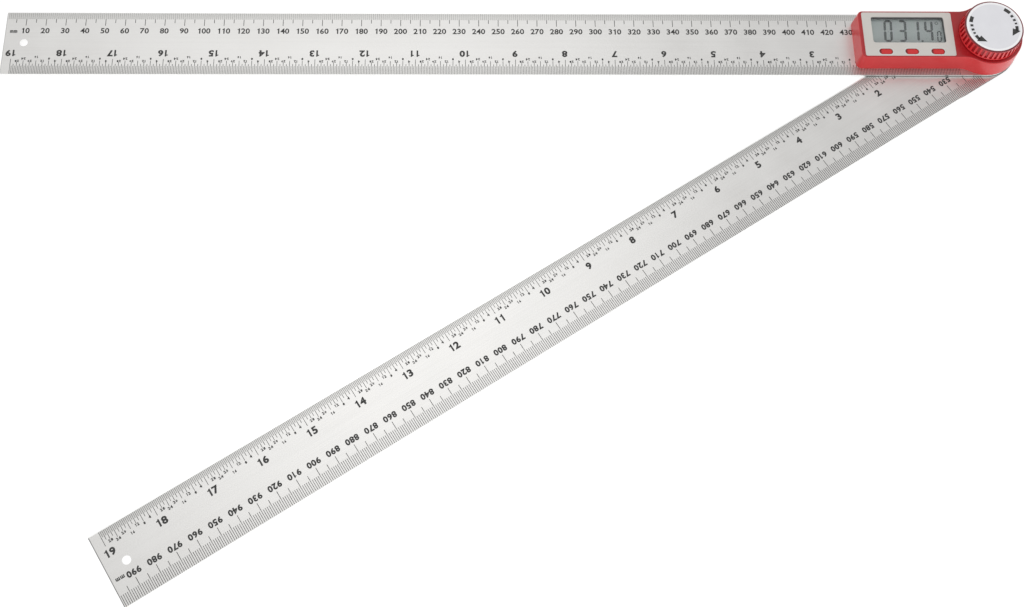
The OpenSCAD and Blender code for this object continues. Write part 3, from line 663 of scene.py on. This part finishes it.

# The left end of each button is painted darker, as painted shade from the edge of its opening.
key_tree = button_red.node_tree
key_x = parts_of(key_tree, wire(key_tree, "ShaderNodeTexCoord").outputs["Object"])[0]
key_along = sum_of(key_tree, "ADD", key_x, key_pitch / 2 - left_key)
key_along = sum_of(key_tree, "MODULO", key_along, key_pitch)
key_shade = spread(key_tree, key_along, 3.7 * mm, 5.0 * mm, 0.85, 0.0)
shaded(button_red, key_shade, (0.10, 0.002, 0.005))
dress("keypad_mat", grey_silicone)
for button in ("button_left", "button_middle", "button_right"):
    dress(button, button_red)


# ---- Display --------------------------------------------------------------------
# A reflective liquid crystal cell sits in a black bezel under a clear pane. Its
# segments are dark and lean a little, and show an angle in degrees.
lcd_reflector, cell_tree, cell_shader, cell_place = new_material("lcd_reflector")
cell_clouds = clouds_on(cell_tree, cell_place, 45.0, 1.2)
cell_grain = clouds_on(cell_tree, cell_place, 5000.0, 2.0)
cell_share = weighed(cell_tree, cell_clouds, 0.7, cell_grain, 0.3)
feed(cell_tree, cell_shader,
     blend_colour(cell_tree, cell_share, (0.262, 0.292, 0.29, 1), (0.292, 0.325, 0.32, 1)),
     spread(cell_tree, cell_grain, 0, 1, 0.40, 0.5))
relief(cell_tree, cell_shader, cell_grain, 0.2, 0.005 * mm)
dress("display_cell", lcd_reflector)
dress("display_bezel", moulded(
    "bezel_grey", (0.07, 0.07, 0.072), (0.10, 0.10, 0.102),
    roughness=0.35, grain_per_metre=2600.0, grain_depth=0.02 * mm))
dress("contact_strips", grey_silicone)

lcd_dark, dark_tree, dark_shader, dark_place = new_material("lcd_segments")
dark_cloud = clouds_on(dark_tree, dark_place, 400.0, 1.5)
feed(dark_tree, dark_shader,
     blend_colour(dark_tree, dark_cloud, (0.018, 0.026, 0.026, 1), (0.035, 0.045, 0.045, 1)),
     spread(dark_tree, dark_cloud, 0, 1, 0.35, 0.5))

cell_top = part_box("display_cell")[1].z
segment_rise = 0.03 * mm
segment_lean = math.tan(math.radians(3.5))
digit_foot = -3.25 * mm
segments = {"0": "abcdef", "1": "bc", "3": "abcdg", "4": "bcfg"}
large_digit = {"width": 4.45 * mm, "height": 12.8 * mm, "stroke": 1.25 * mm, "gap": 0.06 * mm}
small_digit = {"width": 2.4 * mm, "height": 6.5 * mm, "stroke": 0.7 * mm, "gap": 0.05 * mm}
degree_ring = ((-26.6, 8.3, 1.1, 0.4), (-26.6, 7.0, 1.1, 0.4),
               (-26.95, 7.35, 0.4, 0.95), (-25.5, 7.35, 0.4, 0.95))


def bar(gathered, corners):
    """One segment: a flat prism on the cell, leaning with its digit."""
    leaned = [(x + (y - digit_foot) * segment_lean, y) for x, y in corners]
    prism(gathered, leaned, cell_top - segment_rise, cell_top + segment_rise)


def block(gathered, left, low, wide, tall):
    """A plain four-cornered segment."""
    right, high = left + wide, low + tall
    bar(gathered, [(left, low), (right, low), (right, high), (left, high)])


def digit(gathered, value, left, width, height, stroke, gap):
    """A seven-part digit made of six-cornered bars."""
    half, middle = stroke / 2, digit_foot + height / 2
    right, top = left + width, digit_foot + height
    flat = {"a": top - half, "g": middle, "d": digit_foot + half}
    for letter in segments[value]:
        if letter in flat:
            y, x0, x1 = flat[letter], left + half + gap, right - half - gap
            bar(gathered, [(x0, y), (x0 + half, y - half), (x1 - half, y - half),
                           (x1, y), (x1 - half, y + half), (x0 + half, y + half)])
        else:
            x = left + half if letter in "ef" else right - half
            y0, y1 = (digit_foot + half, middle) if letter in "ce" else (middle, top - half)
            y0, y1 = y0 + gap, y1 - gap
            bar(gathered, [(x, y0), (x + half, y0 + half), (x + half, y1 - half),
                           (x, y1), (x - half, y1 - half), (x - half, y0 + half)])


reading = bmesh.new()
for value, left in (("0", -53.5), ("3", -46.2), ("1", -39.6), ("4", -32.5)):
    digit(reading, value, left * mm, **large_digit)
digit(reading, "0", -26.2 * mm, **small_digit)
block(reading, -34.4 * mm, digit_foot, wide=1.0 * mm, tall=1.05 * mm)
for side in degree_ring:
    block(reading, *(size * mm for size in side))
piece("display_reading", mesh_of(reading, "display_reading"), "fixed_arm", lcd_dark)

pane_clear, pane_tree, pane_shader, pane_place = new_material("clear_pane")
pane_marks = clouds_on(pane_tree, pane_place, 260.0, 4.0)
feed(pane_tree, pane_shader,
     blend_colour(pane_tree, pane_marks, (0.97, 0.985, 0.98, 1), (1, 1, 1, 1)),
     spread(pane_tree, pane_marks, 0.5, 1, 0.02, 0.06))
pane_shader.inputs["Transmission Weight"].default_value = 1.0
pane_shader.inputs["IOR"].default_value = 1.49
see_through = wire(pane_tree, "ShaderNodeBsdfTransparent", {"Color": (0.95, 0.97, 0.965, 1)})
shadow_ray = wire(pane_tree, "ShaderNodeLightPath").outputs["Is Shadow Ray"]
pane_mix = wire(pane_tree, "ShaderNodeMixShader", {
    0: shadow_ray, 1: pane_shader.outputs[0], 2: see_through.outputs[0]})
pane_tree.links.new(pane_mix.outputs[0], pane_tree.nodes["Material Output"].inputs["Surface"])


def merged_copy(node, name):
    """A CAD node's mesh as one closed skin, for a piece that refines it."""
    copy = nodes[node].data.copy()
    copy.name = name
    skin = bmesh.new()
    skin.from_mesh(copy)
    bmesh.ops.remove_doubles(skin, verts=skin.verts, dist=1e-6)
    bmesh.ops.dissolve_limit(skin, angle_limit=math.radians(1), verts=skin.verts,
                             edges=skin.edges)
    bmesh.ops.recalc_face_normals(skin, faces=skin.faces)
    skin.to_mesh(copy)
    skin.free()
    if copy.has_custom_normals:
        copy.attributes.remove(copy.attributes["custom_normal"])
    return copy


# The pane's under side is lifted a hair, so that it shares no face with the bezel.
pane_lift = 0.06 * mm
pane_mesh = merged_copy("display_window", "display_pane")
pane_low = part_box("display_window")[0].z
for corner in pane_mesh.vertices:
    if corner.co.z < pane_low + 0.1 * mm:
        corner.co.z = pane_low + pane_lift
pane = piece("display_pane", pane_mesh, "fixed_arm", pane_clear)
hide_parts("display_window")
pane_edge = pane.modifiers.new("polished_edge", "BEVEL")
pane_edge.width = 0.12 * mm
pane_edge.segments = 2
pane_edge.limit_method = "ANGLE"


# ---- Faceplate ------------------------------------------------------------------
# A thin pale plate, sprayed in a warm silver grey, is bonded in the housing's
# top. It is pierced for the window and the three buttons.
plate_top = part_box("faceplate")[1].z
dress("faceplate", moulded(
    "plate_grey", (0.56, 0.535, 0.50), (0.63, 0.605, 0.57),
    roughness=0.42, grain_per_metre=3200.0, grain_depth=0.012 * mm, coat=0.1))

rim_tree, rim_in, rim_out = growing_tree("button_rims", {
    "First": ("Float", left_key), "Pitch": ("Float", key_pitch), "Count": ("Int", 3),
    "Row": ("Float", key_row), "Height": ("Float", plate_top), "Length": ("Float", 7.6 * mm),
    "Width": ("Float", 4.0 * mm), "Corner": ("Float", 1.99 * mm), "Bead": ("Float", 0.28 * mm),
    "Finish": ("Material", None)})
outline = wire(rim_tree, "GeometryNodeCurvePrimitiveQuadrilateral", {
    "Width": rim_in["Length"], "Height": rim_in["Width"]})
rounded = wire(rim_tree, "GeometryNodeFilletCurve", {
    "Curve": outline.outputs[0], "Count": 12, "Radius": rim_in["Corner"]}, mode="POLY")
bead = wire(rim_tree, "GeometryNodeCurvePrimitiveCircle", {
    "Resolution": 10, "Radius": rim_in["Bead"]})
tube = wire(rim_tree, "GeometryNodeCurveToMesh", {
    "Curve": rounded.outputs[0], "Profile Curve": bead.outputs[0]})
flat_bead = wire(rim_tree, "GeometryNodeTransform", {
    "Geometry": tube.outputs[0], "Scale": (1, 1, 0.3)})
rim_row = row_of(rim_tree, rim_in["Count"], rim_in["Pitch"], rim_in["First"], rim_in["Row"],
                 rim_in["Height"])
rims = wire(rim_tree, "GeometryNodeInstanceOnPoints", {
    "Points": rim_row, "Instance": flat_bead.outputs[0]})
finish_tree(rim_tree, rims.outputs[0], rim_in["Finish"], rim_out)
# The rims are raised beads, and their colour, paler than the plate, is a painted highlight.
rim_pale_highlight = moulded("rim_pale_highlight", (0.60, 0.60, 0.57), (0.68, 0.68, 0.65),
                   roughness=0.35, grain_per_metre=3200.0, grain_depth=0.01 * mm, coat=0.1)
piece("button_rims", grown(rim_tree, "button_rims", {"Finish": rim_pale_highlight}),
      "fixed_arm")


# ---- Lock knob ------------------------------------------------------------------
# A deep red ribbed cap moulded on a brass insert. It screws down on the stud,
# through a steel washer, to clamp the arms at the angle shown.
rib_foot, rib_head = 13.1 * mm, 19.7 * mm
rib_foot_r, rib_head_r = 15.6 * mm, 14.9 * mm
knob_red = moulded("knob_red", (0.66, 0.028, 0.034), (0.76, 0.038, 0.044),
                   roughness=0.26, grain_per_metre=1500.0, grain_depth=0.01 * mm, coat=0.3)


def off_axis(tree, place):
    """How far a place is from the pivot's axis."""
    flat = wire(tree, "ShaderNodeVectorMath", {0: place, 1: (1, 1, 0)}, operation="MULTIPLY")
    return wire(tree, "ShaderNodeVectorMath", {0: flat.outputs[0]},
                operation="LENGTH").outputs["Value"]


# The slots between the ribs and the top of the rim are painted darker than the ribs, as painted
# shade.
knob_tree = knob_red.node_tree
knob_place = wire(knob_tree, "ShaderNodeTexCoord").outputs["Object"]
knob_z = parts_of(knob_tree, knob_place)[2]
rib_face = spread(knob_tree, knob_z, rib_foot, rib_head, rib_foot_r, rib_head_r)
knob_depth = sum_of(knob_tree, "SUBTRACT", rib_face, off_axis(knob_tree, knob_place))
slot_shade = sum_of(knob_tree, "MULTIPLY", spread(knob_tree, knob_depth, 0.2 * mm, 0.6 * mm),
                 spread(knob_tree, knob_depth, 0.75 * mm, 0.9 * mm, 1.0, 0.0))
shaded(knob_red, slot_shade, (0.42, 0.003, 0.009))
rim_shade = spread(knob_tree, knob_z, 18.9 * mm, 19.4 * mm)
shaded(knob_red, rim_shade, (0.17, 0.003, 0.009))
dress("lock_knob", knob_red)
dress("knob_insert", spring_brass)
dress("thrust_washer", bright_steel)
dress("rotor_hub", black_moulding)


# ---- Knob disc ------------------------------------------------------------------
# A pale printed disc is pressed in the top of the knob. It has a white border
# and two curved black arrows, which show the way to slacken and to tighten.
disc_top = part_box("knob_disc")[1].z
disc_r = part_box("knob_disc")[1].x
disc_paper, disc_tree, disc_shader, disc_place = new_material("disc_print")
border = spread(disc_tree, off_axis(disc_tree, disc_place), disc_r - 1.25 * mm, disc_r - 1.05 * mm)
disc_cloud = clouds_on(disc_tree, disc_place, 110.0, 1.2)
disc_face = blend_colour(disc_tree, disc_cloud, (0.71, 0.71, 0.745, 1), (0.79, 0.79, 0.82, 1))
feed(disc_tree, disc_shader, blend_colour(disc_tree, border, disc_face, (0.9, 0.9, 0.91, 1)),
     spread(disc_tree, disc_cloud, 0, 1, 0.32, 0.42))
dress("knob_disc", disc_paper)


def printed(gathered, corners):
    """A thin flat shape on the disc, from corners given as radius and degrees."""
    points = [(r * math.cos(math.radians(a)), r * math.sin(math.radians(a))) for r, a in corners]
    prism(gathered, points, disc_top - ink_sunk, disc_top + ink_proud)


# Each arrow is five dashes and a head: inner and outer radius, first and last degree.
arrow_dashes = ((11.0, 12.9, 0, 16.5), (10.7, 12.2, 22.5, 29), (10.6, 12.1, 35, 41),
                (10.7, 12.0, 46, 51), (10.6, 12.2, 56, 69))
arrows = bmesh.new()
for start, way in ((151, 1), (57.5, -1)):
    for inner, outer, begin, end in arrow_dashes:
        turns = [start + way * (begin + (end - begin) * step / 4) for step in range(5)]
        printed(arrows, [(outer * mm, turn) for turn in turns]
                + [(inner * mm, turn) for turn in turns[::-1]])
    printed(arrows, [(9.2 * mm, start + 64 * way), (13.2 * mm, start + 69 * way),
                     (10.0 * mm, start + 90 * way)])
piece("disc_arrows", mesh_of(arrows, "disc_arrows", weld=True), "lock_knob", etched_ink)


# ---- Studio ---------------------------------------------------------------------
# A plain white table and surround with large soft lamps. The table turns pure
# white only for the camera and mirrors, and keeps the angle finder's shadow.
table_reach, table_level = 6.0, -0.05 * mm
floor_mesh = bpy.data.meshes.new("studio_floor")
floor_mesh.from_pydata([(x * table_reach, y * table_reach, table_level)
                        for x, y in ((-1, -1), (1, -1), (1, 1), (-1, 1))], [], [(0, 1, 2, 3)])
studio_floor = bpy.data.objects.new("studio_floor", floor_mesh)
bpy.context.scene.collection.objects.link(studio_floor)
floor_white, floor_tree, floor_shader, floor_place = new_material("floor_white")
path = wire(floor_tree, "ShaderNodeLightPath").outputs
seen = sum_of(floor_tree, "MAXIMUM", path["Is Camera Ray"], path["Is Glossy Ray"])
seen = sum_of(floor_tree, "MAXIMUM", seen, path["Is Transmission Ray"])
paper_grain = clouds_on(floor_tree, floor_place, 6.0, 0.3)
paper = blend_colour(floor_tree, paper_grain, (0.80, 0.80, 0.80, 1), (0.82, 0.82, 0.82, 1))
floor_tree.links.new(blend_colour(floor_tree, seen, paper, (0.30, 0.30, 0.30, 1)),
                     floor_shader.inputs["Base Color"])
floor_shader.inputs["Roughness"].default_value = 0.9
floor_shader.inputs["Specular IOR Level"].default_value = 0.0
floor_shader.inputs["Emission Color"].default_value = (1, 1, 1, 1)
floor_tree.links.new(sum_of(floor_tree, "MULTIPLY", seen, 0.82),
                     floor_shader.inputs["Emission Strength"])
floor_mesh.materials.append(floor_white)

surround = bpy.data.worlds.new("surround")
surround.use_nodes = True
sky = surround.node_tree
sky.nodes.clear()
sky_path = wire(sky, "ShaderNodeLightPath").outputs
sky_seen = sum_of(sky, "MAXIMUM", sky_path["Is Camera Ray"], sky_path["Is Transmission Ray"])
sky_level = spread(sky, sky_seen, 0, 1, 0.74, 1.0)
sky_light = wire(sky, "ShaderNodeBackground", {"Color": (1, 1, 1, 1), "Strength": sky_level})
wire(sky, "ShaderNodeOutputWorld", {"Surface": sky_light.outputs[0]})
bpy.context.scene.world = surround


def soft_lamp(name, place, aim, size, power):
    """A large soft panel that faces a point."""
    lamp = bpy.data.lights.new(name, "AREA")
    lamp.shape = "RECTANGLE"
    lamp.size, lamp.size_y = size
    lamp.energy = power
    made = bpy.data.objects.new(name, lamp)
    bpy.context.scene.collection.objects.link(made)
    made.location = place
    made.rotation_mode = "QUATERNION"
    made.rotation_quaternion = (Vector(aim) - Vector(place)).to_track_quat("-Z", "Y")
    return made


soft_lamp("lamp_overhead", place=(-0.44, 0.45, 1.6), aim=(-0.32, -0.14, 0),
          size=(1.0, 1.0), power=3.2)

# The steel would mirror the front lamp and go white when seen from behind.
lamp_front = soft_lamp("lamp_front", place=(0.1, -1.7, 1.0), aim=(-0.1, -0.1, 0),
                       size=(2.6, 1.6), power=12.0)
lamp_front.visible_glossy = False

bpy.context.scene.view_settings.view_transform = "Standard"
